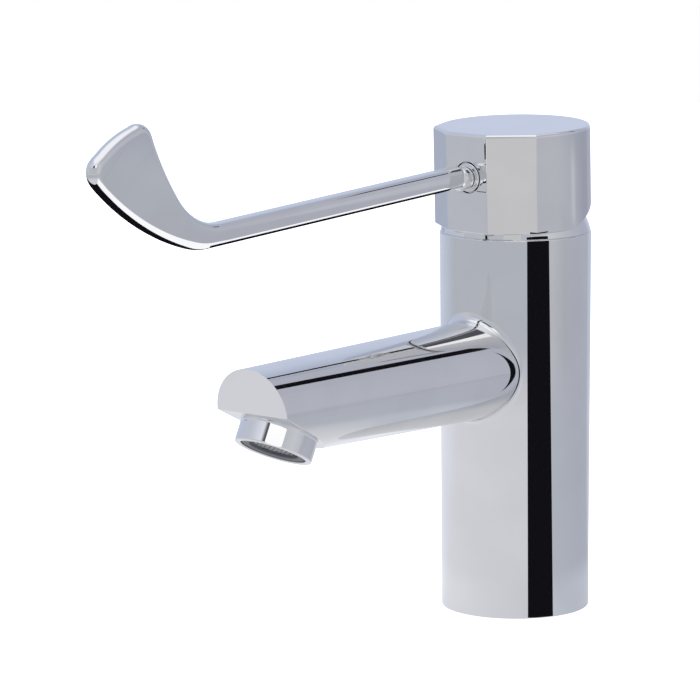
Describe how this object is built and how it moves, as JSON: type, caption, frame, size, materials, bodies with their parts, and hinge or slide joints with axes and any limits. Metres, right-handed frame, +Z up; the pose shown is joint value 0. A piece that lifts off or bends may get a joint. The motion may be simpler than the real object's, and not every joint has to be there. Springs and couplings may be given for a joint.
{
  "type": "elbow lever tap",
  "caption": "One-hole basin mixer tap with a long upturned elbow lever, a faceted lift-and-turn handle head, a straight tapered spout and a ceramic disc cartridge inside",
  "frame": {"origin": "centre of the round foot that stands on the basin", "axes": "X from side to side, -Y forward along spout and lever, +Z up along the body's axis"},
  "size_m": [0.0514, 0.234, 0.1824],
  "materials": {
    "chrome": "polished plated metal",
    "raw_brass": "turned, unplated",
    "steel": "drawn, plain",
    "light_plastic": "moulded",
    "grey_plastic": "moulded",
    "black_rubber": "matt",
    "ceramic": "lapped"
  },
  "bodies": {
    "root": {"body_casting": "chrome", "base_gasket": "black_rubber", "cartridge_plate": "light_plastic", "port_seals": "black_rubber", "disc_seals": "black_rubber", "fixed_disc": "ceramic", "cartridge_housing": "grey_plastic", "retaining_nut": "raw_brass", "cover_collar": "chrome", "collar_seal": "black_rubber", "aerator_housing": "chrome", "aerator_insert": "light_plastic", "aerator_mesh": "steel", "aerator_filter": "light_plastic", "aerator_washer": "black_rubber"},
    "rotor": {"rotor": "grey_plastic", "rotor_seal": "black_rubber", "pivot_pin": "steel"},
    "lever": {"lever_stem": "raw_brass", "handle_head": "chrome", "lever_arm": "chrome"},
    "disc": {"disc_carrier": "light_plastic", "moving_disc": "ceramic"}
  },
  "joints": [
    {"name": "temperature_turn", "type": "hinge", "parent": "root", "child": "rotor", "pos_m": [0, 0, 0.1225], "axis": [0, 0, 1], "range_deg": [-45, 45]},
    {"name": "lever_lift", "type": "hinge", "parent": "rotor", "child": "lever", "pos_m": [0, 0, 0.1225], "axis": [-1, 0, 0], "range_deg": [0, 22]},
    {"name": "disc_slide", "type": "slide", "parent": "rotor", "child": "disc", "axis": [0, -1, 0], "range_m": [0, 0.0035]}
  ],
  "couplings": [
    {"joint": "disc_slide", "follows": "lever_lift", "m_per_rad": 0.00885}
  ]
}
